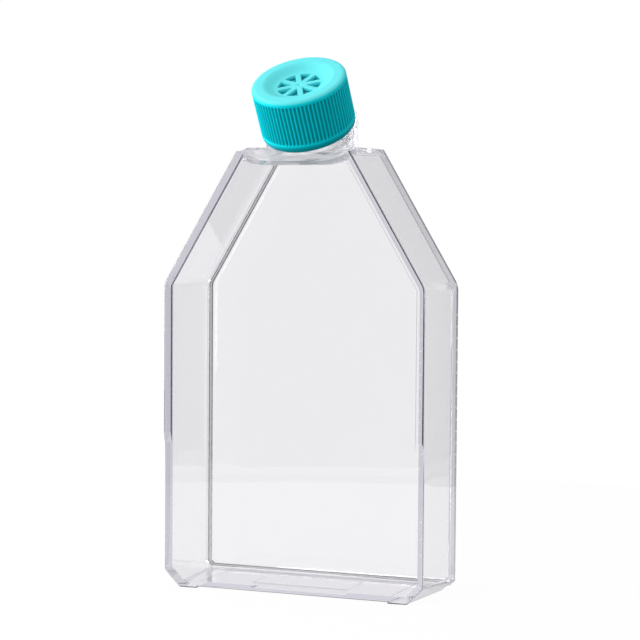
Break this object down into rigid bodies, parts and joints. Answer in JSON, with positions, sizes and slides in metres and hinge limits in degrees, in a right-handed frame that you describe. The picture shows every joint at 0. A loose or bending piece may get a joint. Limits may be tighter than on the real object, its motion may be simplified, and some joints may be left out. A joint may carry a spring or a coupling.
{
  "type": "cell culture flask",
  "caption": "Clear house-shaped culture flask standing on its base end, with a canted neck and a teal vented screw cap that lifts along its thread as it turns.",
  "frame": {"origin": "centre of the base end's middle pad, on the plane the flask stands on", "axes": "+Z along the flask towards the neck, +X across its width, +Y through its depth from the top plate to the growth surface"},
  "size_m": [0.08, 0.0378, 0.1547],
  "materials": {
    "clear_housing": "crystal-clear moulded polystyrene",
    "clear_plate": "crystal-clear moulded polystyrene",
    "teal_cap": "satin moulded polyethylene",
    "pale_insert": "satin moulded polyethylene",
    "white_membrane": "fine porous hydrophobic film"
  },
  "bodies": {
    "flask": {"flask_body": "clear_housing", "top_plate": "clear_plate"},
    "cap_core": {"cap_insert": "pale_insert", "vent_membrane": "white_membrane"},
    "cap": {"vent_cap": "teal_cap"}
  },
  "joints": [
    {"name": "cap_lift", "type": "slide", "parent": "flask", "child": "cap_core", "axis": [0, -0.5446, 0.8387], "range_m": [0, 0.00605]},
    {"name": "cap_turn", "type": "hinge", "parent": "cap_core", "child": "cap", "pos_m": [0, -0.00224, 0.13385], "axis": [0, -0.5446, 0.8387], "range_deg": [0, 540]}
  ],
  "couplings": [
    {"joint": "cap_lift", "follows": "cap_turn", "m_per_rad": 0.00063662}
  ]
}
